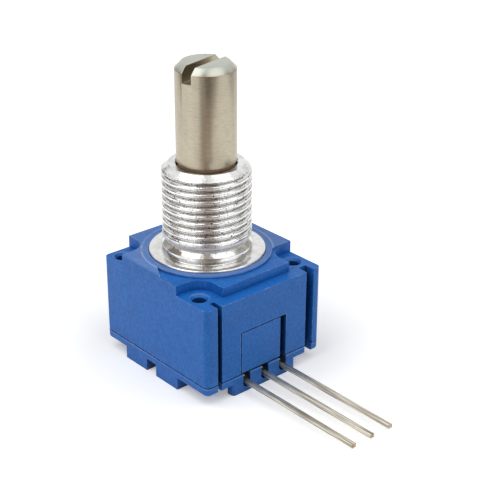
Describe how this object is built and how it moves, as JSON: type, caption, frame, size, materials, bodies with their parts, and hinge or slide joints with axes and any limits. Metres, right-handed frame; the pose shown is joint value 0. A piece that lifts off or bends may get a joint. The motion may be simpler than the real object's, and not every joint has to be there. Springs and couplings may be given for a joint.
{
  "type": "panel potentiometer",
  "caption": "Square single-turn potentiometer with a threaded bushing, a slotted round shaft and straight solder pins out of one side.",
  "frame": {"origin": "on the shaft's axis, in the bushing flange's face that meets the panel", "axes": "+Z along the shaft, away from the panel; -Y is the side that the pins leave; +X is to the right when the pin side is looked at with the shaft up"},
  "size_m": [0.0158, 0.0329, 0.0331],
  "materials": {
    "housing_plastic": "moulded, satin blue",
    "cover_plastic": "moulded, satin blue",
    "insert_plastic": "moulded, satin blue",
    "bushing_nickel": "bright nickel plate over brass",
    "shaft_nickel": "turned and nickel plated",
    "washer_bronze": "stamped",
    "alumina": "fired alumina",
    "cermet": "printed and fired",
    "conductor": "printed and fired silver palladium",
    "pin_metal": "tinned, drawn",
    "solder": "solder, smooth",
    "seal_rubber": "moulded",
    "spring_steel": "stamped",
    "rotor_plastic": "moulded, black",
    "spring_bronze": "stamped",
    "contact_metal": "precious-metal wire"
  },
  "bodies": {
    "case": {"housing": "housing_plastic", "rear_cover": "cover_plastic", "terminal_insert": "insert_plastic", "bushing": "bushing_nickel", "thrust_washer": "washer_bronze", "ceramic_element": "alumina", "resistive_track": "cermet", "collector_ring": "conductor", "end_pad_left": "conductor", "end_pad_right": "conductor", "terminal_pin_1": "pin_metal", "terminal_pin_2": "pin_metal", "terminal_pin_3": "pin_metal", "solder_joint_1": "solder", "solder_joint_2": "solder", "solder_joint_3": "solder"},
    "rotor_shaft": {"shaft": "shaft_nickel", "shaft_seal": "seal_rubber", "retaining_clip": "spring_steel", "rotor": "rotor_plastic", "wiper_spring": "spring_bronze", "collector_contact": "contact_metal", "track_contact": "contact_metal"}
  },
  "joints": [
    {"name": "shaft_turn", "type": "hinge", "parent": "case", "child": "rotor_shaft", "pos_m": [0, 0, 0], "axis": [0, 0, 1], "range_deg": [-148, 148]}
  ]
}
